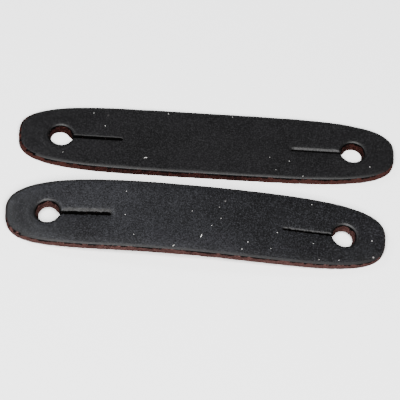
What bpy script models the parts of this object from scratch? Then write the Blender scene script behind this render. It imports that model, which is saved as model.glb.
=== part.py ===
"""A pair of leather hand-grip straps, each one uncut strip with two slit button holes.

Both straps come from the same die. rear_grip lies flat, and front_grip lies beside it with its
middle bowed up and its far edge a little raised. Metres, +Z up, origin under the centre of the pair.
"""

import math

import bmesh
import bpy
import numpy as np
from mathutils import Vector

# The strap, as it comes from the die.
LENGTH = 0.127
WIDTH = 0.0258
THICKNESS = 0.0032
END_FULLNESS = 4.5        # exponent along the strap: higher keeps the width further out
END_ROUNDNESS = 2.92      # exponent across the strap: 2 is a half ellipse, higher is squarer

# The button hole and the slit that lets a stud's head into it.
HOLE_FROM_MIDDLE = 0.0494
HOLE_OFF_LINE = -0.0002   # the punch sits this far to one side of the strap's centre line
HOLE_TOP_RADIUS = 0.0040
HOLE_BOTTOM_RADIUS = 0.0036
HOLE_LIP = 0.0004
SLIT_END_FROM_MIDDLE = 0.0284
SLIT_OFF_HOLE = -0.0004   # and the slit knife this far to the same side of the hole's centre
SLIT_WIDTH = 0.0005
SLIT_LIP = 0.0001

# The burnished grain-side edge and the crisp flesh-side edge.
TOP_EDGE_RADIUS = 0.0006
BOTTOM_EDGE_BREAK = 0.00015

# How the pair lies. Positive skew moves the high point of the bow towards +X.
REAR_SHIFT_X = 0.0038
CENTRE_LINES_APART = 0.0355
FRONT_TURN = math.radians(-1.25)
FRONT_BOW = 0.0046
FRONT_BOW_SKEW = -0.0017
FRONT_ROLL = math.radians(5.6)        # about the long axis, raising the +Y edge
FRONT_ROLL_ENDS = math.radians(3.6)   # how much more the ends are rolled than the middle

# How finely the curves are faceted.
OUTLINE_POINTS = 96
HOLE_POINTS = 32
EDGE_STEPS = 3
BOW_FACET = 0.006
BOW_SAMPLES = 400


def clear_scene():
    for item in list(bpy.data.objects):
        bpy.data.objects.remove(item)


def leather(name, grey):
    material = bpy.data.materials.new(name)
    material.use_nodes = True
    shader = material.node_tree.nodes["Principled BSDF"]
    shader.inputs["Base Color"].default_value = (grey, grey, grey * 1.1, 1.0)
    shader.inputs["Roughness"].default_value = 0.5
    shader.inputs["Metallic"].default_value = 0.0
    material.diffuse_color = (grey, grey, grey * 1.1, 1.0)
    return material


def strap_outline(count):
    """The strap's plan, anticlockwise, with its points closest together round the ends."""
    half_length, half_width = LENGTH / 2, WIDTH / 2
    points = []
    for i in range(count):
        angle = 2 * math.pi * (i + 0.5) / count
        along = math.copysign(abs(math.cos(angle)) ** (2 / END_FULLNESS), math.cos(angle))
        across = (1 - abs(along) ** END_FULLNESS) ** (1 / END_ROUNDNESS)
        points.append(Vector((along * half_length, math.copysign(across, math.sin(angle)) * half_width)))
    return points


def keyhole_outline(side, radius, half_slit):
    """A round hole with its slit running towards the strap's middle. side is -1 or 1."""
    lower, upper = SLIT_OFF_HOLE - half_slit, SLIT_OFF_HOLE + half_slit
    start = -math.pi - math.asin(lower / radius)
    sweep = math.pi - math.asin(upper / radius) - start
    points = []
    for i in range(HOLE_POINTS + 1):
        angle = start + sweep * i / HOLE_POINTS
        points.append((HOLE_FROM_MIDDLE + radius * math.cos(angle), radius * math.sin(angle)))
    shoulder = SLIT_END_FROM_MIDDLE + half_slit
    points.append((shoulder, upper))
    points.append((SLIT_END_FROM_MIDDLE, SLIT_OFF_HOLE))
    points.append((shoulder, lower))
    return [Vector((side * x, y + HOLE_OFF_LINE)) for x, y in points]


def inset(points, distance):
    """The anticlockwise outline moved inwards by distance."""
    moved = []
    for i, point in enumerate(points):
        tangent = (points[(i + 1) % len(points)] - points[i - 1]).normalized()
        moved.append(point + Vector((-tangent.y, tangent.x)) * distance)
    return moved


def edge_levels():
    """(height, inset) pairs up the outer wall: a small break, the raw edge, then a round shoulder."""
    levels = [(0.0, BOTTOM_EDGE_BREAK), (BOTTOM_EDGE_BREAK, 0.0)]
    for i in range(EDGE_STEPS + 1):
        turn = math.pi / 2 * i / EDGE_STEPS
        height = THICKNESS - TOP_EDGE_RADIUS * (1 - math.sin(turn))
        levels.append((height, TOP_EDGE_RADIUS * (1 - math.cos(turn))))
    return levels


def keyhole_levels():
    """(height, hole radius, half slit width) up the hole's wall: a slight taper, then a round lip."""
    half_slit = SLIT_WIDTH / 2
    levels = [(0.0, HOLE_BOTTOM_RADIUS, half_slit)]
    for i in range(EDGE_STEPS + 1):
        turn = math.pi / 2 * i / EDGE_STEPS
        flare = 1 - math.cos(turn)
        height = THICKNESS - HOLE_LIP * (1 - math.sin(turn))
        levels.append((height, HOLE_TOP_RADIUS + HOLE_LIP * flare, half_slit + SLIT_LIP * flare))
    return levels


def add_wall(bm, rings):
    """Closed rings of matching points, bottom to top, joined by quads. Returns the end rings' edges."""
    made = []
    for height, points in rings:
        made.append([bm.verts.new((p.x, p.y, height)) for p in points])
    for lower, upper in zip(made, made[1:]):
        for i in range(len(lower)):
            j = (i + 1) % len(lower)
            bm.faces.new((lower[i], lower[j], upper[j], upper[i]))
    ends = []
    for ring in (made[0], made[-1]):
        ends.append([bm.edges.get((ring[i - 1], ring[i])) for i in range(len(ring))])
    return ends


def flat_strap():
    """The strap as cut: an outer wall and two keyholes, with a filled face above and below."""
    bm = bmesh.new()
    outline = strap_outline(OUTLINE_POINTS)
    walls = [add_wall(bm, [(height, inset(outline, move)) for height, move in edge_levels()])]
    for side in (-1, 1):
        rings = [(z, keyhole_outline(side, radius, slit)) for z, radius, slit in keyhole_levels()]
        walls.append(add_wall(bm, rings))
    for face in (0, 1):
        edges = [edge for wall in walls for edge in wall[face]]
        bmesh.ops.triangle_fill(bm, edges=edges, use_beauty=True)
    return bm


def split_across(bm, spacing):
    """Adds a line of points across the strap every so often, so that it can bow smoothly."""
    steps = round(LENGTH / spacing)
    for i in range(1, steps):
        here = Vector((LENGTH * (i / steps - 0.5), 0, 0))
        everything = bm.verts[:] + bm.edges[:] + bm.faces[:]
        bmesh.ops.bisect_plane(bm, geom=everything, dist=1e-6, plane_co=here, plane_no=(1, 0, 0))


def bow(bm, height, skew, roll, roll_ends):
    """Bends the strap upwards in the middle and rolls it about its long axis.

    Its mid-thickness line keeps the strap's length.
    """
    half = LENGTH / 2
    along = np.linspace(-half, half, BOW_SAMPLES)
    u = along / half
    slope = np.arctan((-2 * height * u + skew * (1 - 3 * u * u)) / half)
    between = (slope[1:] + slope[:-1]) / 2
    step = along[1] - along[0]
    x_line = np.concatenate(([0.0], np.cumsum(np.cos(between) * step)))
    z_line = np.concatenate(([0.0], np.cumsum(np.sin(between) * step)))
    x_line -= x_line[-1] / 2
    for vert in bm.verts:
        tilt = float(np.interp(vert.co.x, along, slope))
        turn = roll + roll_ends * ((vert.co.x / half) ** 2 - 1 / 3)
        above = vert.co.z - THICKNESS / 2
        y = vert.co.y * math.cos(turn) - above * math.sin(turn)
        above = vert.co.y * math.sin(turn) + above * math.cos(turn)
        x = float(np.interp(vert.co.x, along, x_line)) - above * math.sin(tilt)
        z = float(np.interp(vert.co.x, along, z_line)) + above * math.cos(tilt)
        vert.co = (x, y, z)


def finish_strap(name, bm, material):
    bmesh.ops.triangulate(bm, faces=bm.faces[:])
    bmesh.ops.recalc_face_normals(bm, faces=bm.faces[:])
    mesh = bpy.data.meshes.new(name)
    bm.to_mesh(mesh)
    bm.free()
    mesh.materials.append(material)
    mesh.shade_smooth()
    mesh.set_sharp_from_angle(angle=math.radians(40))
    strap = bpy.data.objects.new(name, mesh)
    bpy.context.scene.collection.objects.link(strap)
    return strap


def make_rear_grip():
    strap = finish_strap("rear_grip", flat_strap(), leather("rear_black_leather", 0.030))
    strap.location = (REAR_SHIFT_X / 2, CENTRE_LINES_APART / 2, 0.0)
    return strap


def make_front_grip():
    bm = flat_strap()
    split_across(bm, BOW_FACET)
    bow(bm, FRONT_BOW, FRONT_BOW_SKEW, FRONT_ROLL, FRONT_ROLL_ENDS)
    strap = finish_strap("front_grip", bm, leather("front_black_leather", 0.045))
    strap.rotation_euler = (0.0, 0.0, FRONT_TURN)
    strap.location = (-REAR_SHIFT_X / 2, -CENTRE_LINES_APART / 2, 0.0)
    return strap


def centre_on_floor(straps):
    """Moves the pair so that its box is centred over the origin and stands on z = 0."""
    bpy.context.view_layer.update()
    corners = np.array([strap.matrix_world @ v.co for strap in straps for v in strap.data.vertices])
    low, high = corners.min(axis=0), corners.max(axis=0)
    for strap in straps:
        lowest = min((strap.matrix_world @ v.co).z for v in strap.data.vertices)
        shift = Vector(((low[0] + high[0]) / -2, (low[1] + high[1]) / -2, -lowest))
        strap.location += shift


clear_scene()
centre_on_floor([make_rear_grip(), make_front_grip()])
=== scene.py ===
import math
import bpy
import numpy as np
from mathutils import Matrix, Vector, kdtree, noise
from mathutils.geometry import delaunay_2d_cdt


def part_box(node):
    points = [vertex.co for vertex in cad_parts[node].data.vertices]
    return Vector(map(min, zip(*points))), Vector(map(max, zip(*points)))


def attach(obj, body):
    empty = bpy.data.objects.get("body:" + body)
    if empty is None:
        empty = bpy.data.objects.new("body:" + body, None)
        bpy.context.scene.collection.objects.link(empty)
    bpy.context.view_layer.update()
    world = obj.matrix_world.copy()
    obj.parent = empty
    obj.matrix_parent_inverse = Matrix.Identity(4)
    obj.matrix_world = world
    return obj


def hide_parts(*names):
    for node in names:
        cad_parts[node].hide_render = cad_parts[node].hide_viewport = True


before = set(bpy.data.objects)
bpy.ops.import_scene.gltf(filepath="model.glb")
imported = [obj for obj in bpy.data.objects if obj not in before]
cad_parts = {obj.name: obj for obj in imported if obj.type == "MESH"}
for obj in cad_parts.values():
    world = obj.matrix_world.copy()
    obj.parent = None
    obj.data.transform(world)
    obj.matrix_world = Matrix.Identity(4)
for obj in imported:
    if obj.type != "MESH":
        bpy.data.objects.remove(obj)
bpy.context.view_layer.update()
print("frame loaded")

mm = 0.001


def placed(name, data):   # a new object in the scene
    made = bpy.data.objects.new(name, data)
    bpy.context.scene.collection.objects.link(made)
    return made


def newMaterial(name):
    material = bpy.data.materials.new(name)
    material.use_nodes = True
    return material, material.node_tree, material.node_tree.nodes["Principled BSDF"]


# one strap as it comes from the die, in millimetres
strap = {
    "length": 127.0,
    "width": 26.0,
    "thickness": 3.2,
    "endFullness": 4.5,      # higher keeps the width further out
    "endRoundness": 2.92,    # 2 is a half ellipse, higher is squarer
    "holeFromMiddle": 49.4,
    "holeOffLine": -0.2,
    "holeRadius": 4.15,
    "holeTaper": 0.98,       # how much narrower the hole is on the flesh side
    "slitEnd": 28.4,
    "slitOffHole": -0.4,
    "cornerSoftness": 0.25,  # rounds the corners where the slit meets the hole
    "fleshEdge": 0.25,
    "fleshEdgeSteps": 3,
    "roundingSteps": 6,
    "roundingFullness": 1.45,    # 1 is a flat bevel, 2 is a quarter ellipse
    "wallRows": 10,
}

# spacing of the points on a strap in millimetres, and how many samples its curves are taken from
fineness = {
    "edge": 0.33, "slit": 0.25, "face": 0.45, "flesh": 0.9,
    "outlineSamples": 6000, "holeSamples": 400, "bowSamples": 800,
}

# how uneven both straps are, in millimetres
unevenness = {
    # (lift, scale along, scale across, layer)
    "grainWaves": ((0.10, 0.035, 0.07, 0), (0.04, 0.16, 0.16, 5), (0.012, 0.9, 0.9, 7)),
    "rimWaver": 0.12,            # how closely the rim's rounding varies
    "raggedCut": 0.1,            # how far the fibres of the cut stand in and out
    "raggedFrom": 0.3, "raggedOver": 0.6,    # that starts this far below the grain side, and grows over this
    "nap": 0.05, "napScale": 1.3,            # how far the flesh side goes up and down
    "holeRise": 0.10, "holeRiseAt": 1.7, "holeRiseReach": 1.2,   # the punch leaves a low ring round a hole
    "thinEndReach": 12.0,
    "lipEndReach": 0.8,
    "slitWaver": 1.6,
}

# how the dye and the handling show, with painted shade on the far rim and in the slits, the same on both
# straps
wearAndShade = {
    "farFrom": -2.0, "farOver": 8.0,     # where the near side turns into the far one
    "farRimShadeReach": 1.1,                  # how wide the band of painted shade on the far rim is
    "shadyDull": 0.4,                    # how much rougher the far rim and the near lips are
    # the slit walls soak so far that they are painted black all the way down, painted shade in the slit
    "holeSoak": 0.95, "slitShadeSoak": 5.0,
}

# how each strap lies and how it is worn, in millimetres and degrees
# a rounding or a lip is (width, depth), and a slit's values are given for the left and the right one
# a patch of handling wear and painted sheen is (x, y, reach along, reach across, amount)
# a dent is (x, y, radius, depth, tone); a tone below 0 is painted shade in the dent and a tone above 0 a
# paler scuff
grips = {
    "rearGrip": {
        "node": "rear_grip", "body": "rear_grip", "seed": 3.1,
        "bow": 0.0, "bowSkew": 0.0, "roll": 0.0, "rollEnds": 0.0, "turn": 0.0,
        "edgeSoak": 0.85, "tipSoak": 0.2,    # how far the dye has soaked down the cut, and at the tips
        "rawTip": (-58.0, 9.5),              # left of and nearer than here the raw cut starts higher up
        "edgeRounding": (1.15, 0.6), "holeRounding": (0.7, 0.5),
        "nearLip": (0.2, 0.2), "farLips": ((0.3, 0.2), (1.0, 0.65)),
        "slitWidths": (1.2, 0.6), "slitWander": (0.12, 0.05),
        "lipDrop": (0.15, 0.45), "lipReach": (0.8, 1.1), "lipFuzz": (0.2, 0.2),
        "rollOff": (0.06, 1.5),              # how far the grain side sinks at the rim, and its reach
        "edgeDull": (0.15, 0.11), "holeDull": 0.08, "lipDulls": (0.25, 0.12),
        "handledAndSheenStart": 0.5, "handledAndSheenSlope": 0.0, "handledAndSheenPatches": (),
        "thinEnds": (1.1, 0.3),              # how much thinner the near side of the left and right tips is
        "dents": ((58.3, 1.5, 0.45, 0.25, -1.0), (-34.6, 10.2, 0.6, 0.15, -0.5),
                  (-33.7, 9.2, 0.5, -0.1, 0.55)),
    },
    "frontGrip": {
        "node": "front_grip", "body": "front_grip", "seed": 17.4,
        "bow": 4.6, "bowSkew": -1.7, "roll": 5.6, "rollEnds": 3.6, "turn": -1.25,
        "edgeSoak": 0.55, "tipSoak": 0.3,
        "rawTip": (-58.5, -2.0),
        "edgeRounding": (1.0, 0.45), "holeRounding": (0.65, 0.5),
        "nearLip": (0.25, 0.25), "farLips": ((1.4, 0.45), (0.5, 0.3)),
        "slitWidths": (1.05, 0.62), "slitWander": (0.24, 0.2),
        "lipDrop": (0.5, 0.25), "lipReach": (1.5, 1.0), "lipFuzz": (0.4, 0.3),
        "rollOff": (0.30, 2.2),
        "edgeDull": (0.16, 0.26), "holeDull": 0.10, "lipDulls": (0.16, 0.16),
        # the front strap's handling wear and painted sheen grow towards its left end
        "handledAndSheenStart": 0.38, "handledAndSheenSlope": -0.01,
        "handledAndSheenPatches": ((-40.0, -7.5, 14.0, 8.0, -0.6), (3.0, -8.5, 23.0, 8.0, 0.22),
                           (-61.0, -5.0, 9.0, 12.0, -0.9), (-50.0, 6.0, 9.0, 7.0, -0.35)),
        "thinEnds": (0.2, 0.2),
        "dents": ((59.5, -6.9, 0.3, -0.05, 1.1), (9.0, 7.5, 0.35, 0.1, 0.6)),
    },
}


# closed loops in plan, walked with the leather on the left

def evenLoop(points, spacing):
    ring = np.vstack([points, points[:1]])
    run = np.concatenate(([0], np.cumsum(np.linalg.norm(np.diff(ring, axis=0), axis=1))))
    at = np.linspace(0, run[-1], int(round(run[-1] / spacing)), endpoint=False)
    return np.stack([np.interp(at, run, ring[:, k]) for k in (0, 1)], axis=1)


def softened(values, reach):   # reach counts points
    span = int(math.ceil(3 * reach))
    weights = np.exp(-0.5 * (np.arange(-span, span + 1) / reach) ** 2)
    weights /= weights.sum()
    return sum(w * np.roll(values, k - span, axis=0) for k, w in enumerate(weights))


def inwardNormals(points):
    tangent = np.roll(points, -1, axis=0) - np.roll(points, 1, axis=0)
    tangent /= np.linalg.norm(tangent, axis=1)[:, None]
    return np.stack([-tangent[:, 1], tangent[:, 0]], axis=1)


def halfWidthAt(x):
    share = np.clip(np.abs(x) / (strap["length"] / 2), 0, 1)
    return strap["width"] / 2 * (1 - share ** strap["endFullness"]) ** (1 / strap["endRoundness"])


def farness(y):   # 0 at the near side and 1 at the far one
    return np.clip((y - wearAndShade["farFrom"]) / wearAndShade["farOver"], 0, 1)


def outerLoop(grip):
    turn = np.linspace(0, 2 * math.pi, fineness["outlineSamples"], endpoint=False)
    along = np.sign(np.cos(turn)) * np.abs(np.cos(turn)) ** (2 / strap["endFullness"]) * strap["length"] / 2
    points = np.stack([along, halfWidthAt(along) * np.sign(np.sin(turn))], axis=1)
    points = evenLoop(points, fineness["edge"])
    width, depth = grip["edgeRounding"]
    waver = unevenness["rimWaver"]
    uneven = np.array([noise.noise(Vector((x * waver, y * waver, grip["seed"] + 3))) for x, y in points])
    reach = np.abs(points[:, 0]) / (strap["length"] / 2)
    dyeAndShadeSoak = grip["edgeSoak"] + (grip["tipSoak"] - grip["edgeSoak"]) * np.clip((reach - 0.85) / 0.1, 0, 1)
    dull = np.interp(points[:, 0], (-60, 60), grip["edgeDull"]) + wearAndShade["shadyDull"] * farness(points[:, 1])
    rawX, rawY = grip["rawTip"]
    return {"points": points, "normals": inwardNormals(points), "width": width * (1 + 0.25 * uneven),
            "depth": depth * (1 + 0.2 * uneven), "taper": 0 * reach, "dyeAndShadeSoak": dyeAndShadeSoak, "dull": dull,
            "raw": (points[:, 0] < rawX) & (points[:, 1] < rawY), "bore": 0 * reach}


def keyholeLoop(grip, side):
    which = 0 if side < 0 else 1
    radius, half, mid = strap["holeRadius"], grip["slitWidths"][which] / 2, strap["slitOffHole"]
    low, high = math.asin((mid - half) / radius), math.asin((mid + half) / radius)
    arc = np.linspace(math.pi - high, -math.pi - low, fineness["holeSamples"])    # clockwise round the hole
    hole = np.stack([radius * np.cos(arc), radius * np.sin(arc)], axis=1)
    tip = strap["slitEnd"] - strap["holeFromMiddle"]
    slit = np.array([(tip + half, mid - half), (tip, mid), (tip + half, mid + half)])
    fine = fineness["slit"] / 5
    points = evenLoop(np.vstack([hole, slit]), fine)
    points = evenLoop(softened(points, strap["cornerSoftness"] / fine), fineness["slit"])
    onHole = points[:, 0] > -radius * 0.99
    farSide = points[:, 1] > mid
    normals = inwardNormals(points)
    wander = np.array([noise.noise(Vector((x * unevenness["slitWaver"], 9 * f + grip["seed"], side)))
                       for x, f in zip(points[:, 0], farSide)])
    calm = np.clip(np.linalg.norm(points - (tip, mid), axis=1) / 1.5, 0, 1)
    points[:, 1] += grip["slitWander"][which] * wander * calm * softened(1.0 * ~onHole, 3)
    farLip = grip["farLips"][which]
    kinds = np.array([grip["holeRounding"] if h else farLip if f else grip["nearLip"]
                      for h, f in zip(onHole, farSide)])
    # the rounding narrows at the corners and at the slit's tip, where it would cross itself
    corners = radius * np.array([(-math.cos(high), math.sin(high)), (-math.cos(low), math.sin(low))])
    fromCorner = np.min([np.linalg.norm(points - c, axis=1) for c in corners], axis=0)
    fromTip = np.linalg.norm(points - (tip, mid), axis=1)
    width = np.minimum(softened(kinds[:, 0], 2), np.minimum(0.2 + 0.5 * fromCorner, 0.25 + fromTip))
    depth = np.minimum(softened(kinds[:, 1], 2), 0.2 + 0.4 * fromTip)
    taper = np.minimum(softened(onHole * strap["holeTaper"], 3), 0.08 + 0.5 * fromCorner)
    # the slit walls get so much soak that they are painted black, painted shade in the slit
    dyeAndShadeSoak = softened(np.where(onHole, wearAndShade["holeSoak"], wearAndShade["slitShadeSoak"]), 1.5)
    lipDull = np.where(farSide, grip["lipDulls"][which], wearAndShade["shadyDull"])
    dull = softened(np.where(onHole, grip["holeDull"], lipDull), 2)
    points = points + (strap["holeFromMiddle"], strap["holeOffLine"])
    loop = {"points": points, "normals": normals, "width": width, "depth": depth, "taper": taper,
            "dyeAndShadeSoak": dyeAndShadeSoak, "dull": dull, "raw": np.zeros(len(points), bool), "bore": np.ones(len(points))}
    if side < 0:
        loop = {key: values[::-1] for key, values in loop.items()}
        loop["points"] = loop["points"] * (-1, 1)
        loop["normals"] = loop["normals"] * (-1, 1)
    return loop


def layerNoise(x, y, z, seed):   # the fibres lie in layers, so the cut varies faster downwards than along
    coarse = noise.noise(Vector((x * 0.5, y * 0.5, z * 2.2 + seed)))
    fine = noise.noise(Vector((x * 2.0, y * 2.0, z * 5.0 - seed)))
    return coarse + 0.6 * fine


def wallRings(loop, seed):   # (plan points, heights) from the grain side down to the flesh side
    points, normals = loop["points"], loop["normals"]
    thick, flesh = strap["thickness"], strap["fleshEdge"]
    steps, rows = strap["roundingSteps"], strap["wallRows"]
    none = 0 * loop["width"]
    power = 2 / strap["roundingFullness"]
    rings = []
    for turn in np.linspace(math.pi / 2, 0, steps + 1):
        along, down = 1 - abs(math.cos(turn)) ** power, 1 - abs(math.sin(turn)) ** power
        rings.append((loop["width"] * along, thick - loop["depth"] * down))
    for part in np.linspace(0, 1, rows + 1)[1:-1]:
        rings.append((none, (thick - loop["depth"]) * (1 - part) + flesh * part))
    for turn in np.linspace(0, math.pi / 2, strap["fleshEdgeSteps"] + 1):
        rings.append((none + flesh * (1 - math.cos(turn)), none + flesh * (1 - math.sin(turn))))
    made = []
    for inset, height in rings:
        ragged = np.array([layerNoise(x, y, z, seed) for (x, y), z in zip(points, height)])
        ragged *= np.clip((thick - unevenness["raggedFrom"] - height) / unevenness["raggedOver"], 0, 1)
        move = inset - loop["taper"] * (1 - height / thick) + unevenness["raggedCut"] * ragged
        made.append((points + normals * move[:, None], height))
    return made


def insidePolygon(where, polygon):
    inside = np.zeros(len(where), bool)
    for (ax, ay), (bx, by) in zip(polygon, np.roll(polygon, -1, axis=0)):
        crosses = (ay > where[:, 1]) != (by > where[:, 1])
        if crosses.any():
            inside ^= crosses & (where[:, 0] < (bx - ax) * (where[:, 1] - ay) / (by - ay + 1e-12) + ax)
    return inside


def onLeather(where, rims):
    return insidePolygon(where, rims[0]) & ~insidePolygon(where, rims[1]) & ~insidePolygon(where, rims[2])


def fillFace(rims, spacing, extra):   # triangles between the outer rim and the two keyhole rims
    flat = np.vstack(rims)
    tree = kdtree.KDTree(len(flat))
    for k, (x, y) in enumerate(flat):
        tree.insert((x, y, 0), k)
    tree.balance()
    halfLength, halfWidth = strap["length"] / 2, strap["width"] / 2
    lattice = []
    for j, y in enumerate(np.arange(-halfWidth, halfWidth, spacing * 0.866)):
        for x in np.arange(-halfLength + (j % 2) * spacing / 2, halfLength, spacing):
            lattice.append((x, y))
    lattice = np.array(lattice)
    lattice = lattice[onLeather(lattice, rims)]
    lattice = lattice[[tree.find((x, y, 0))[2] > spacing * 0.6 for x, y in lattice]]
    for place in extra:
        lattice = lattice[np.linalg.norm(lattice - place, axis=1) > spacing * 0.5]
        lattice = np.vstack([lattice, [place]])
    edges, start = [], 0
    for rim in rims:
        edges += [(start + i, start + (i + 1) % len(rim)) for i in range(len(rim))]
        start += len(rim)
    every = np.vstack([flat, lattice])
    result = delaunay_2d_cdt([Vector(p) for p in every], edges, [], 0, 1e-6)
    if len(result[0]) != len(every):
        raise RuntimeError("two rims cross near " + str([tuple(v) for v in result[0][len(every):]]))
    triangles = np.array([[result[3][v][0] for v in face] for face in result[2]])
    rimOnly = (triangles < len(flat)).all(axis=1)
    triangles = triangles[~rimOnly | onLeather(every[triangles].mean(axis=1), rims)]
    a, b, c = (every[triangles[:, k]] for k in range(3))
    turned = (b[:, 0] - a[:, 0]) * (c[:, 1] - a[:, 1]) < (b[:, 1] - a[:, 1]) * (c[:, 0] - a[:, 0])
    triangles[turned] = triangles[turned][:, ::-1]
    return lattice, triangles


def grainSideLift(x, y, grip):   # in millimetres
    seed = grip["seed"]
    lift = 0.0
    for amount, scaleX, scaleY, layer in unevenness["grainWaves"]:
        lift += amount * noise.noise(Vector((x * scaleX, y * scaleY, seed + layer)))
    fromEdge = min(halfWidthAt(x) - abs(y), strap["length"] / 2 - abs(x))
    amount, reach = grip["rollOff"]
    lift -= amount * math.exp(-(max(fromEdge, 0) / reach) ** 2)
    nearSide = min(max(0.5 - y / strap["width"], 0), 1)
    for k, side in enumerate((-1, 1)):
        toTip = max(strap["length"] / 2 - side * x, 0)
        lift -= grip["thinEnds"][k] * nearSide * math.exp(-(toTip / unevenness["thinEndReach"]) ** 2)
        fromCentre = math.hypot(x - side * strap["holeFromMiddle"], y - strap["holeOffLine"])
        ring = (fromCentre - strap["holeRadius"] - unevenness["holeRiseAt"]) / unevenness["holeRiseReach"]
        lift += unevenness["holeRise"] * math.exp(-ring ** 2)
        # both lips are pressed down into the slit
        beside = max(abs(y - strap["holeOffLine"] - strap["slitOffHole"]) - grip["slitWidths"][k] / 2, 0)
        past = max(strap["slitEnd"] - side * x, side * x - strap["holeFromMiddle"] + strap["holeRadius"], 0)
        fuzz = 1 + grip["lipFuzz"][k] * noise.noise(Vector((x * 1.7, y * 0.9, seed + side)))
        pressed = math.exp(-(past / unevenness["lipEndReach"]) ** 2 - beside / grip["lipReach"][k])
        lift -= grip["lipDrop"][k] * fuzz * pressed
    for dentX, dentY, size, depth, _ in grip["dents"]:
        lift -= depth * math.exp(-((x - dentX) ** 2 + (y - dentY) ** 2) / size ** 2)
    return lift


def farRimShade(flat):   # how much a point belongs to the far rim, which is dull and painted black as shade
    fromEdge = halfWidthAt(flat[:, 0]) - np.abs(flat[:, 1])
    return np.clip(wearAndShade["farRimShadeReach"] - fromEdge, 0, 1) * farness(flat[:, 1])


# handling wear and painted sheen together, greying the grain
def handledAndSheenShare(flat, grip):
    share = grip["handledAndSheenStart"] + grip["handledAndSheenSlope"] * flat[:, 0]
    for x, y, along, across, amount in grip["handledAndSheenPatches"]:
        share += amount * np.exp(-((flat[:, 0] - x) / along) ** 2 - ((flat[:, 1] - y) / across) ** 2)
    return share


# painted shade in dents with a tone below 0, paler scuffs with a tone above 0
def dentShadesAndScuffs(flat, grip):
    shadesAndScuffs = np.zeros(len(flat))
    for dentX, dentY, size, _, shadeAndScuff in grip["dents"]:
        near = np.exp(-((flat[:, 0] - dentX) ** 2 + (flat[:, 1] - dentY) ** 2) / size ** 2)
        shadesAndScuffs += shadeAndScuff * near * (flat[:, 2] > strap["thickness"] / 2)
    return shadesAndScuffs


def posed(flat, grip):   # bowed along its length, and rolled about its long axis
    half, thick = strap["length"] / 2, strap["thickness"]
    along = np.linspace(-half, half, fineness["bowSamples"])
    u = along / half
    slope = np.arctan((-2 * grip["bow"] * u + grip["bowSkew"] * (1 - 3 * u * u)) / half)
    between = (slope[1:] + slope[:-1]) / 2
    step = along[1] - along[0]
    lineX = np.concatenate(([0.0], np.cumsum(np.cos(between) * step)))
    lineZ = np.concatenate(([0.0], np.cumsum(np.sin(between) * step)))
    lineX -= lineX[-1] / 2
    x, y, above = flat[:, 0], flat[:, 1], flat[:, 2] - thick / 2
    tilt = np.interp(x, along, slope)
    roll = np.radians(grip["roll"] + grip["rollEnds"] * ((x / half) ** 2 - 1 / 3))
    side = y * np.cos(roll) - above * np.sin(roll)
    up = y * np.sin(roll) + above * np.cos(roll)
    px = np.interp(x, along, lineX) - up * np.sin(tilt)
    pz = np.interp(x, along, lineZ) + up * np.cos(tilt)
    turn = math.radians(grip["turn"])
    return np.stack([px * math.cos(turn) - side * math.sin(turn),
                     px * math.sin(turn) + side * math.cos(turn), pz], axis=1)


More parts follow.
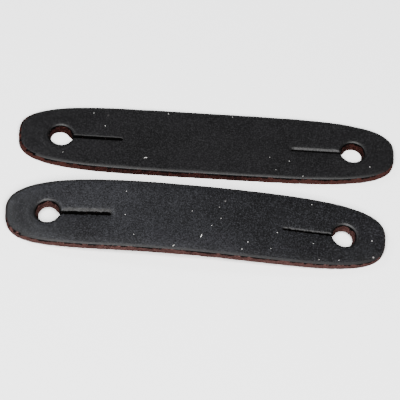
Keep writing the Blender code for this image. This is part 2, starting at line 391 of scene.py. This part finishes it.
def makeGrip(name, grip):
    places, dyeAndShadeSoaks, dulls, bores, rimShares, faces, zones, count = [], [], [], [], [], [], [], 0
    rims, rimIndex = {"top": [], "low": []}, {"top": [], "low": []}
    for loop in (outerLoop(grip), keyholeLoop(grip, -1), keyholeLoop(grip, 1)):
        rings = wallRings(loop, grip["seed"])
        size = len(loop["points"])
        i = np.arange(size)
        j = (i + 1) % size
        for row in range(len(rings) - 1):
            upper, lower = count + row * size, count + (row + 1) * size
            faces += np.stack([upper + i, lower + i, lower + j, upper + j], axis=1).tolist()
            zones += np.where(loop["raw"], row >= 2, row >= strap["roundingSteps"] - 2).astype(int).tolist()
        for key, row in (("top", 0), ("low", len(rings) - 1)):
            rims[key].append(rings[row][0])
            rimIndex[key].append(count + row * size + i)
        for row, (plan, height) in enumerate(rings):
            places.append(np.column_stack([plan, height]))
            dyeAndShadeSoaks.append(loop["dyeAndShadeSoak"])
            bores.append(loop["bore"])
            rimShares.append(np.full(size, min(row / 2, 1.0)))
            dulls.append(loop["dull"] * rimShares[-1])
            count += size
    for key, spacing, height, zone in (("top", fineness["face"], strap["thickness"], 0),
                                       ("low", fineness["flesh"], 0.0, 2)):
        extra = [dent[:2] for dent in grip["dents"]] if key == "top" else []
        lattice, triangles = fillFace(rims[key], spacing, extra)
        triangles = np.concatenate(rimIndex[key] + [count + np.arange(len(lattice))])[triangles]
        if zone == 2:
            triangles = triangles[:, ::-1]
        places.append(np.column_stack([lattice, np.full(len(lattice), height)]))
        dyeAndShadeSoaks.append(np.full(len(lattice), 1.0))
        bores.append(np.zeros(len(lattice)))
        rimShares.append(np.zeros(len(lattice)))
        dulls.append(np.zeros(len(lattice)))
        count += len(lattice)
        faces += triangles.tolist()
        zones += [zone] * len(triangles)
    flat = np.vstack(places)
    share = np.clip(flat[:, 2] / strap["thickness"], 0, 1)
    lift = np.array([grainSideLift(x, y, grip) for x, y in flat[:, :2]])
    scale = unevenness["napScale"]
    nap = np.array([noise.noise(Vector((x * scale, y * scale, grip["seed"] - 9))) for x, y in flat[:, :2]])
    lifted = flat.copy()
    lifted[:, 2] += share * lift + (1 - share) ** 3 * unevenness["nap"] * nap
    shaped = posed(lifted, grip)
    low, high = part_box(grip["node"])
    centre = (np.array(low) + np.array(high)) / 2 / mm
    here = (shaped.min(axis=0) + shaped.max(axis=0)) / 2
    shaped += (centre[0] - here[0], centre[1] - here[1], low[2] / mm - shaped[:, 2].min())
    mesh = bpy.data.meshes.new(name)
    mesh.from_pydata((shaped * mm).tolist(), [], faces)
    mesh.polygons.foreach_set("material_index", zones)
    mesh.attributes.new("cutPlace", "FLOAT_VECTOR", "POINT").data.foreach_set("vector", flat.ravel())
    wear = {
        "dyeSoakAndSlitShade": np.concatenate(dyeAndShadeSoaks),
        # the rounding's burnish all round, and painted shade along the far rim
        "burnishAndFarShade": np.maximum(np.concatenate(rimShares), farRimShade(flat)),
        "dull": np.maximum(np.concatenate(dulls), 0.5 * farRimShade(flat)),
        "dentShadeAndScuff": dentShadesAndScuffs(flat, grip),
        "handledAndSheen": handledAndSheenShare(flat, grip),
        "bore": np.concatenate(bores),
    }
    for key, values in wear.items():
        mesh.attributes.new(key, "FLOAT", "POINT").data.foreach_set("value", values)
    mesh.shade_smooth()
    print(name, "made,", len(mesh.polygons), "faces")
    return placed(name, mesh)


# materials

class leatherNodes:   # wires one finish, with its pattern fixed to the strap by cutPlace

    def __init__(self, name, seed):
        self.material, self.tree, self.shader = newMaterial(name)
        self.offset = (seed * 10, 0, 0)

    def add(self, kind, **settings):
        node = self.tree.nodes.new(kind)
        for key, value in settings.items():
            setattr(node, key, value)
        return node

    def value(self, socket, given):
        if isinstance(given, bpy.types.NodeSocket):
            self.tree.links.new(given, socket)
        else:
            socket.default_value = given

    def attribute(self, name, output):
        return self.add("ShaderNodeAttribute", attribute_name=name).outputs[output]

    def place(self, scale=(1, 1, 1)):
        mapping = self.add("ShaderNodeMapping")
        self.value(mapping.inputs["Vector"], self.attribute("cutPlace", "Vector"))
        self.value(mapping.inputs["Scale"], scale)
        self.value(mapping.inputs["Location"], self.offset)
        return mapping.outputs["Vector"]

    def noise(self, scale, detail=2.0, roughness=0.5, distortion=0.0, stretch=(1, 1, 1)):
        node = self.add("ShaderNodeTexNoise")
        for key, given in (("Vector", self.place(stretch)), ("Scale", scale), ("Detail", detail),
                           ("Roughness", roughness), ("Distortion", distortion)):
            self.value(node.inputs[key], given)
        return node.outputs["Fac"]

    def cells(self, scale):
        node = self.add("ShaderNodeTexVoronoi", feature="DISTANCE_TO_EDGE")
        self.value(node.inputs["Vector"], self.place())
        self.value(node.inputs["Scale"], scale)
        return node.outputs["Distance"]

    def fit(self, source, fromLow, fromHigh, toLow=0.0, toHigh=1.0):
        node = self.add("ShaderNodeMapRange", interpolation_type="SMOOTHSTEP")
        for key, given in zip(("Value", "From Min", "From Max", "To Min", "To Max"),
                              (source, fromLow, fromHigh, toLow, toHigh)):
            self.value(node.inputs[key], given)
        return node.outputs["Result"]

    def maths(self, operation, first, second=0.0):
        node = self.add("ShaderNodeMath", operation=operation)
        self.value(node.inputs[0], first)
        self.value(node.inputs[1], second)
        return node.outputs[0]

    def mix(self, factor, first, second):
        node = self.add("ShaderNodeMix", data_type="RGBA")
        sockets = [s for s in node.inputs if s.enabled]
        for socket, given in zip(sockets, (factor, first, second)):
            self.value(socket, given)
        return next(s for s in node.outputs if s.enabled)

    def axis(self, name):
        split = self.add("ShaderNodeSeparateXYZ")
        self.value(split.inputs["Vector"], self.attribute("cutPlace", "Vector"))
        return split.outputs[name]

    def bump(self, height, strength, distance):
        node = self.add("ShaderNodeBump")
        self.value(node.inputs["Strength"], strength)
        self.value(node.inputs["Distance"], distance)
        self.value(node.inputs["Height"], height)
        self.value(self.shader.inputs["Normal"], node.outputs["Normal"])

    def colour(self, colour, roughness):
        self.value(self.shader.inputs["Base Color"], colour)
        self.value(self.shader.inputs["Roughness"], roughness)


# how fine each pattern is, in features to the millimetre
patterns = {
    "mottle": 0.10, "speckle": 2.1, "pits": 2.6, "scuff": 0.6, "pebble": 2.0, "relief": 3.0,
    "layers": 1.0, "blotch": 0.5, "fibre": 1.0, "boreSpecks": 2.2,
    "nap": 1.6, "napCloud": 0.12,
}


def grainFace(look):   # black dyed grain: mottled, pebbled, pitted, scuffed, and greyer where it has been handled and where painted sheen stands in for light glancing off it
    m = leatherNodes(look["name"], look["seed"])
    mottle = m.noise(patterns["mottle"], 4, 0.6)
    speckle = m.noise(patterns["speckle"], 2, 0.7)
    colour = m.mix(m.fit(mottle, 0.35, 0.65), look["dark"], look["light"])
    # handling wear mixed with painted sheen, lighter where light would glance off the grain
    handledAndSheen = m.maths("ADD", m.attribute("handledAndSheen", "Fac"), m.fit(mottle, 0.3, 0.7, -0.1, 0.1))
    colour = m.mix(m.maths("MULTIPLY", m.fit(handledAndSheen, 0.0, 1.0), look["handledAndSheen"]), colour, look["hazeAndSheen"])
    colour = m.mix(m.fit(speckle, 0.42, 0.72, 0.0, look["speckled"]), colour, look["hazeAndSheen"])
    pits = m.noise(patterns["pits"], 2, 0.75)
    colour = m.mix(m.fit(pits, 0.56, 0.40, 0.0, look["pitted"]), colour, look["burnishAndShade"])
    scuff = m.noise(patterns["scuff"], 3, 0.7, 0.6, (0.35, 1.6, 1.0))
    colour = m.mix(m.fit(scuff, 0.64, 0.76, 0.0, 0.35), colour, look["hazeAndSheen"])
    # the rounding is darkened all round to the burnish colour, and the band along the far rim gets it as
    # painted shade
    rim = m.attribute("burnishAndFarShade", "Fac")
    shadeAndScuff = m.attribute("dentShadeAndScuff", "Fac")
    colour = m.mix(m.fit(shadeAndScuff, 0.1, 1.0), colour, look["bare"])
    colour = m.mix(rim, colour, look["burnishAndShade"])
    # dents with a tone below 0 get painted shade, darker and rougher
    colour = m.mix(m.fit(shadeAndScuff, -0.1, -0.7), colour, look["burnishAndShade"])
    roughness = m.maths("ADD", m.fit(speckle, 0.3, 0.7, look["gloss"][0], look["gloss"][1]),
                        m.attribute("dull", "Fac"))
    m.colour(colour, m.maths("ADD", roughness, m.fit(shadeAndScuff, -0.1, -0.7, 0.0, 0.6)))
    m.value(m.shader.inputs["Specular IOR Level"], look["specular"])
    pebble = m.fit(m.cells(patterns["pebble"]), 0.0, 0.25)
    fineRelief = m.maths("MULTIPLY", m.noise(patterns["relief"], 3), 1.4)
    m.bump(m.maths("ADD", m.maths("MULTIPLY", pebble, 0.7), fineRelief), 0.3, 0.06 * mm)
    return m.material


def cutEdge(look):   # raw fibres in layers, with the dye soaked in from the grain side, and the slit walls painted black all the way down as painted shade
    m = leatherNodes(look["name"], look["seed"])
    layers = m.noise(patterns["layers"], 5, 0.65, 0.4, (0.5, 0.5, 3.0))
    blotch = m.noise(patterns["blotch"], 3, 0.65)
    fibre = m.noise(patterns["fibre"], 3, 0.6, 0.0, (2.2, 2.2, 6.0))
    colour = m.mix(m.fit(layers, 0.40, 0.60), look["deep"], look["mid"])
    colour = m.mix(m.fit(fibre, 0.52, 0.72, 0.0, 0.85), colour, look["pale"])
    colour = m.mix(m.fit(blotch, 0.50, 0.62, 0.0, look["gaps"]), colour, look["deep"])
    bore = m.attribute("bore", "Fac")
    # darkest at x = -12 and paler towards both ends
    fromDarkest = m.maths("ABSOLUTE", m.maths("ADD", m.axis("X"), 12.0))
    paler = m.fit(fromDarkest, 20.0, 42.0, 0.0, look["paleEnds"])
    colour = m.mix(m.maths("MULTIPLY", paler, m.fit(bore, 1.0, 0.0)), colour, look["pale"])
    specks = m.fit(m.noise(patterns["boreSpecks"], 3, 0.6), 0.46, 0.60, 0.0, 0.75)
    colour = m.mix(m.maths("MULTIPLY", specks, bore), colour, look["deep"])
    reach = m.maths("ADD", m.axis("Z"), m.attribute("dyeSoakAndSlitShade", "Fac"))   # from here up the cut is dyed, and the slit walls are painted black all the way down as painted shade
    reach = m.maths("ADD", reach, m.fit(blotch, 0.3, 0.7, -0.55, 0.45))
    dyedAndShaded = m.fit(reach, strap["thickness"] - 0.15, strap["thickness"] + 0.15)
    colour = m.mix(dyedAndShaded, colour, look["dyeAndSlitShade"])
    m.colour(colour, m.fit(fibre, 0.3, 0.7, 0.8, 1.0))
    m.value(m.shader.inputs["Specular IOR Level"], 0.02)
    m.bump(m.maths("ADD", layers, m.maths("MULTIPLY", fibre, 0.5)), 0.9, 0.25 * mm)
    return m.material


def fleshSide(look):   # brushed suede
    m = leatherNodes(look["name"], look["seed"])
    nap = m.noise(patterns["nap"], 5, 0.7)
    colour = m.mix(m.fit(nap, 0.3, 0.7), look["deep"], look["mid"])
    cloud = m.noise(patterns["napCloud"], 3, 0.6)
    colour = m.mix(m.fit(cloud, 0.4, 0.7, 0.0, 0.5), colour, look["pale"])
    m.colour(colour, m.fit(nap, 0.3, 0.7, 0.85, 1.0))
    m.value(m.shader.inputs["Sheen Weight"], 0.3)
    m.bump(nap, 0.8, 0.3 * mm)
    return m.material


# speckled and pitted are how strongly those show, handled is how strongly handling wear and painted sheen
# show, gaps is how much of the cut is left dark
finishes = {
    "rearGrip": {
        "face": {"name": "rearBlackGrain", "seed": 1.3, "gloss": (0.36, 0.47), "specular": 0.22,
                 "dark": (0.0022, 0.0021, 0.0023, 1), "light": (0.0036, 0.0034, 0.0038, 1),
                 "hazeAndSheen": (0.0145, 0.0143, 0.0153, 1), "burnishAndShade": (0.0009, 0.0008, 0.0008, 1),
                 "bare": (0.05, 0.045, 0.043, 1), "speckled": 0.70, "pitted": 0.45, "handledAndSheen": 0.12},
        "cut": {"name": "rearRawEdge", "seed": 2.1, "deep": (0.004, 0.0014, 0.0012, 1),
                "mid": (0.0135, 0.0034, 0.0028, 1), "pale": (0.057, 0.0215, 0.0175, 1),
                "dyeAndSlitShade": (0.0006, 0.0005, 0.0005, 1), "gaps": 0.75, "paleEnds": 0.25},
        "flesh": {"name": "rearFlesh", "seed": 4.2, "deep": (0.06, 0.026, 0.017, 1),
                  "mid": (0.15, 0.078, 0.052, 1), "pale": (0.22, 0.125, 0.085, 1)},
    },
    "frontGrip": {
        "face": {"name": "frontBlackGrain", "seed": 5.7, "gloss": (0.36, 0.47), "specular": 0.22,
                 "dark": (0.0022, 0.0022, 0.0025, 1), "light": (0.0036, 0.0036, 0.0042, 1),
                 "hazeAndSheen": (0.0255, 0.026, 0.030, 1), "burnishAndShade": (0.0013, 0.0012, 0.0013, 1),
                 "bare": (0.20, 0.19, 0.18, 1), "speckled": 0.62, "pitted": 0.85, "handledAndSheen": 0.52},
        "cut": {"name": "frontRawEdge", "seed": 6.4, "deep": (0.013, 0.0052, 0.0046, 1),
                "mid": (0.036, 0.0155, 0.0140, 1), "pale": (0.115, 0.060, 0.053, 1),
                "dyeAndSlitShade": (0.0006, 0.0005, 0.0005, 1), "gaps": 0.4, "paleEnds": 0.05},
        "flesh": {"name": "frontFlesh", "seed": 7.9, "deep": (0.06, 0.026, 0.017, 1),
                  "mid": (0.15, 0.078, 0.052, 1), "pale": (0.22, 0.125, 0.085, 1)},
    },
}


# loose matter: pale dust and lint on the grain, and fibres standing out of the cut edge

# specks and hairs are how many to the square metre, and the sizes are in millimetres
dustShapes = {"slot": 0, "speckSize": 0.17, "hairThickness": 0.11, "hairLift": 0.10}
fibreShapes = {"slot": 1, "specks": 0.0, "hairs": 140000.0, "speckSize": 0.1, "hairLength": 0.3,
               "hairThickness": 0.03, "hairLift": 0.4, "ramp": 0.0, "farSide": 0.1}
scatters = {
    "rearDust": {**dustShapes, "grip": "rearGrip", "seed": 4, "specks": 5200.0, "hairs": 900.0,
                 "hairLength": 1.1, "ramp": 0.0, "farSide": 0.8},
    "frontDust": {**dustShapes, "grip": "frontGrip", "seed": 9, "specks": 8200.0, "hairs": 1200.0,
                  "hairLength": 1.0, "ramp": 0.9, "farSide": 0.7},
    "rearEdgeFibres": {**fibreShapes, "grip": "rearGrip", "seed": 21},
    "frontEdgeFibres": {**fibreShapes, "grip": "frontGrip", "seed": 33},
}


def looseMatterTree():
    tree = bpy.data.node_groups.new("looseMatter", "GeometryNodeTree")
    sockets = tree.interface
    sockets.new_socket("Geometry", in_out="INPUT", socket_type="NodeSocketGeometry")
    for name in ("Found On", "Made Of"):
        sockets.new_socket(name, in_out="INPUT", socket_type="NodeSocketMaterial")
    for name in ("Specks", "Hairs", "Speck Size", "Hair Length", "Hair Thickness", "Hair Lift", "Ramp",
                 "Far Side"):
        sockets.new_socket(name, in_out="INPUT", socket_type="NodeSocketFloat")
    sockets.new_socket("Seed", in_out="INPUT", socket_type="NodeSocketInt")
    sockets.new_socket("Geometry", in_out="OUTPUT", socket_type="NodeSocketGeometry")
    start = tree.nodes.new("NodeGroupInput")
    end = tree.nodes.new("NodeGroupOutput")

    def put(kind, inputs, **settings):
        node = tree.nodes.new(kind)
        for key, value in settings.items():
            setattr(node, key, value)
        for key, given in inputs.items():
            if isinstance(given, bpy.types.NodeSocket):
                tree.links.new(given, node.inputs[key])
            else:
                node.inputs[key].default_value = given
        return node

    def anyBetween(low, high, offset):
        node = put("FunctionNodeRandomValue", {"Seed": offset}, data_type="FLOAT")
        for key, given in (("Min", low), ("Max", high)):
            next(s for s in node.inputs if s.name == key and s.enabled).default_value = given
        return next(s for s in node.outputs if s.enabled)

    def maths(kind, first, second):
        return put("ShaderNodeMath", {0: first, 1: second}, operation=kind).outputs[0]

    inside = start.outputs
    chosen = put("GeometryNodeMaterialSelection", {"Material": inside["Found On"]}).outputs[0]
    # Ramp above 0 puts more of it towards the right-hand end
    where = put("GeometryNodeInputNamedAttribute", {"Name": "cutPlace"}, data_type="FLOAT_VECTOR")
    split = put("ShaderNodeSeparateXYZ", {"Vector": where.outputs[0]})
    along = put("ShaderNodeMapRange", {"Value": split.outputs["X"], "From Min": -60.0, "From Max": 30.0,
                                       "To Min": -1.0, "To Max": 0.5}).outputs["Result"]
    share = maths("ADD", 1.0, maths("MULTIPLY", along, inside["Ramp"]))
    # Far Side is how much of it there is beyond the middle line
    across = put("ShaderNodeMapRange", {"Value": split.outputs["Y"], "From Min": 3.0, "From Max": 7.0,
                                        "To Min": 1.0, "To Max": inside["Far Side"]}).outputs["Result"]
    share = maths("MULTIPLY", share, across)
    rim = put("GeometryNodeInputNamedAttribute", {"Name": "burnishAndFarShade"}, data_type="FLOAT")
    offRim = maths("SUBTRACT", 1.0, rim.outputs[0])   # specks don't stay on a rounded rim
    groups = []
    for key, seedShift in (("Specks", 0), ("Hairs", 50)):
        density = maths("MULTIPLY", share, inside[key])
        if key == "Specks":
            density = maths("MULTIPLY", density, offRim)
        seed = maths("ADD", inside["Seed"], float(seedShift))
        spread = put("GeometryNodeDistributePointsOnFaces", {
            "Mesh": inside["Geometry"], "Selection": chosen, "Density": density, "Seed": seed})
        angle = anyBetween(0.0, 6.28, 3)
        spin = put("FunctionNodeAxisAngleToRotation", {"Axis": (0, 0, 1), "Angle": angle})
        turned = put("FunctionNodeRotateRotation", {"Rotation": spread.outputs["Rotation"],
                                                    "Rotate By": spin.outputs[0]}, rotation_space="LOCAL")
        size = anyBetween(0.55, 1.2, 4)
        if key == "Specks":
            ball = put("GeometryNodeMeshIcoSphere", {"Radius": inside["Speck Size"], "Subdivisions": 1})
            shape = ball.outputs[0]
            breadth = anyBetween(0.5, 1.0, 5)
            stretch = put("ShaderNodeCombineXYZ", {"X": size, "Y": breadth, "Z": 0.45}).outputs[0]
        else:
            length, lift = inside["Hair Length"], inside["Hair Lift"]
            rise = maths("MULTIPLY", length, lift)
            bend = {"X": maths("MULTIPLY", length, 0.5), "Y": maths("MULTIPLY", length, 0.3), "Z": rise}
            middle = put("ShaderNodeCombineXYZ", bend)
            tip = put("ShaderNodeCombineXYZ", {"X": length, "Y": 0.0, "Z": rise})
            line = put("GeometryNodeCurveQuadraticBezier", {
                "Start": (0, 0, 0), "Middle": middle.outputs[0], "End": tip.outputs[0], "Resolution": 4})
            ring = put("GeometryNodeCurvePrimitiveCircle", {
                "Resolution": 4, "Radius": inside["Hair Thickness"]})
            tube = put("GeometryNodeCurveToMesh", {
                "Curve": line.outputs[0], "Profile Curve": ring.outputs[0], "Fill Caps": True})
            shape = tube.outputs[0]
            stretch = put("ShaderNodeCombineXYZ", {"X": size, "Y": size, "Z": size}).outputs[0]
        copies = put("GeometryNodeInstanceOnPoints", {
            "Points": spread.outputs["Points"], "Instance": shape, "Rotation": turned.outputs[0],
            "Scale": stretch})
        groups.append(copies.outputs[0])
    joined = put("GeometryNodeJoinGeometry", {})
    for group in groups:
        tree.links.new(group, joined.inputs[0])
    real = put("GeometryNodeRealizeInstances", {"Geometry": joined.outputs[0]})
    done = put("GeometryNodeSetMaterial", {"Geometry": real.outputs[0], "Material": inside["Made Of"]})
    tree.links.new(done.outputs[0], end.inputs[0])
    return tree


def looseMatter(name, setup, tree, strapPiece, material):
    carrier = placed(name + "Carrier", strapPiece.data)
    modifier = carrier.modifiers.new("looseMatter", "NODES")
    modifier.node_group = tree
    wanted = {"Found On": strapPiece.data.materials[setup["slot"]], "Made Of": material,
              "Specks": setup["specks"], "Hairs": setup["hairs"], "Speck Size": setup["speckSize"] * mm,
              "Hair Length": setup["hairLength"] * mm, "Hair Thickness": setup["hairThickness"] * mm,
              "Hair Lift": setup["hairLift"], "Ramp": setup["ramp"], "Far Side": setup["farSide"],
              "Seed": setup["seed"]}
    for item in tree.interface.items_tree:
        if item.in_out == "INPUT" and item.name in wanted:
            modifier[item.identifier] = wanted[item.name]
    bpy.context.view_layer.update()
    mesh = bpy.data.meshes.new_from_object(carrier.evaluated_get(bpy.context.evaluated_depsgraph_get()))
    bpy.data.objects.remove(carrier)
    mesh.name = name
    mesh.shade_smooth()
    print(name, "made,", len(mesh.polygons), "faces")
    return placed(name, mesh)


def looseMaterial(name, low, high):
    material, tree, shader = newMaterial(name)
    where = tree.nodes.new("ShaderNodeTexCoord")
    pattern = tree.nodes.new("ShaderNodeTexNoise")
    pattern.inputs["Scale"].default_value = 900.0
    ramp = tree.nodes.new("ShaderNodeValToRGB")
    ramp.color_ramp.elements[0].position, ramp.color_ramp.elements[1].position = 0.35, 0.65
    ramp.color_ramp.elements[0].color, ramp.color_ramp.elements[1].color = low, high
    tree.links.new(where.outputs["Object"], pattern.inputs["Vector"])
    tree.links.new(pattern.outputs["Fac"], ramp.inputs["Fac"])
    tree.links.new(ramp.outputs["Color"], shader.inputs["Base Color"])
    shader.inputs["Roughness"].default_value = 0.9
    return material


pieces = {}
for name, grip in grips.items():
    piece = makeGrip(name, grip)
    look = finishes[name]
    piece.data.materials.append(grainFace(look["face"]))
    piece.data.materials.append(cutEdge(look["cut"]))
    piece.data.materials.append(fleshSide(look["flesh"]))
    pieces[name] = piece
dust = looseMaterial("paleDust", (0.35, 0.34, 0.32, 1), (0.75, 0.74, 0.72, 1))
fuzz = looseMaterial("edgeFuzz", (0.010, 0.004, 0.003, 1), (0.045, 0.018, 0.014, 1))
matterTree = looseMatterTree()
extras = {}
for name, setup in scatters.items():
    madeOf = dust if setup["slot"] == 0 else fuzz
    extras[name] = looseMatter(name, setup, matterTree, pieces[setup["grip"]], madeOf)
for name, grip in grips.items():
    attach(pieces[name], grip["body"])
    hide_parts(grip["node"])
for name, setup in scatters.items():
    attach(extras[name], grips[setup["grip"]]["body"])


# studio

studio = {
    "floorSize": 14.0,               # metres
    "floorColour": (0.93, 0.93, 0.93, 1),
    "airStrength": 0.14,
    "aim": (-0.31, -3.9, 0.0),       # millimetres, as is the distance
    "distance": 1300.0,
    "azimuth": -7.4,                 # degrees, 0 from the near side
    "elevation": 52.57,
    "cameraRoll": -9.3,
    "lens": 349.9,
}

# places and sizes in metres, power in watts
lights = {
    "keyLight": {"place": (-0.1, -0.8, 1.1), "size": (0.9, 0.7), "power": 84.0,
                 "colour": (1, 1, 1)},
    "leftLight": {"place": (-0.85, 0.42, 1.0), "size": (0.35, 0.5), "power": 8.0,
                  "colour": (0.93, 0.96, 1.0)},
}


def makeFloor():
    bpy.ops.mesh.primitive_plane_add(size=studio["floorSize"], location=(0, 0, 0))
    floor = bpy.context.object
    floor.name = "floor"
    material, _, shader = newMaterial("paleFloor")
    shader.inputs["Base Color"].default_value = studio["floorColour"]
    shader.inputs["Roughness"].default_value = 0.9
    shader.inputs["Specular IOR Level"].default_value = 0.1
    floor.data.materials.append(material)


def makeLights():
    world = bpy.data.worlds.new("studioAir")
    bpy.context.scene.world = world
    world.use_nodes = True
    air = world.node_tree.nodes["Background"]
    air.inputs["Color"].default_value = (1, 1, 1, 1)
    air.inputs["Strength"].default_value = studio["airStrength"]
    for name, setup in lights.items():
        data = bpy.data.lights.new(name, "AREA")
        data.shape = "RECTANGLE"
        data.size, data.size_y = setup["size"]
        data.energy = setup["power"]
        data.color = setup["colour"]
        light = placed(name, data)
        light.location = setup["place"]
        light.rotation_euler = (-Vector(setup["place"])).to_track_quat("-Z", "Y").to_euler()


def makeCamera():
    az, el, roll = (math.radians(studio[key]) for key in ("azimuth", "elevation", "cameraRoll"))
    back = Vector((math.sin(az) * math.cos(el), -math.cos(az) * math.cos(el), math.sin(el)))
    right = Vector((math.cos(az), math.sin(az), 0))
    up = back.cross(right)
    turnedRight = right * math.cos(roll) - up * math.sin(roll)
    turnedUp = right * math.sin(roll) + up * math.cos(roll)
    data = bpy.data.cameras.new("studioCamera")
    data.sensor_width = 36
    data.lens = studio["lens"]
    data.clip_start, data.clip_end = 0.05, 30
    camera = placed("studioCamera", data)
    facing = Matrix((turnedRight, turnedUp, back)).transposed().to_4x4()
    place = (Vector(studio["aim"]) + back * studio["distance"]) * mm
    camera.matrix_world = Matrix.Translation(place) @ facing
    bpy.context.scene.camera = camera


makeFloor()
makeLights()
makeCamera()
print("studio ready")
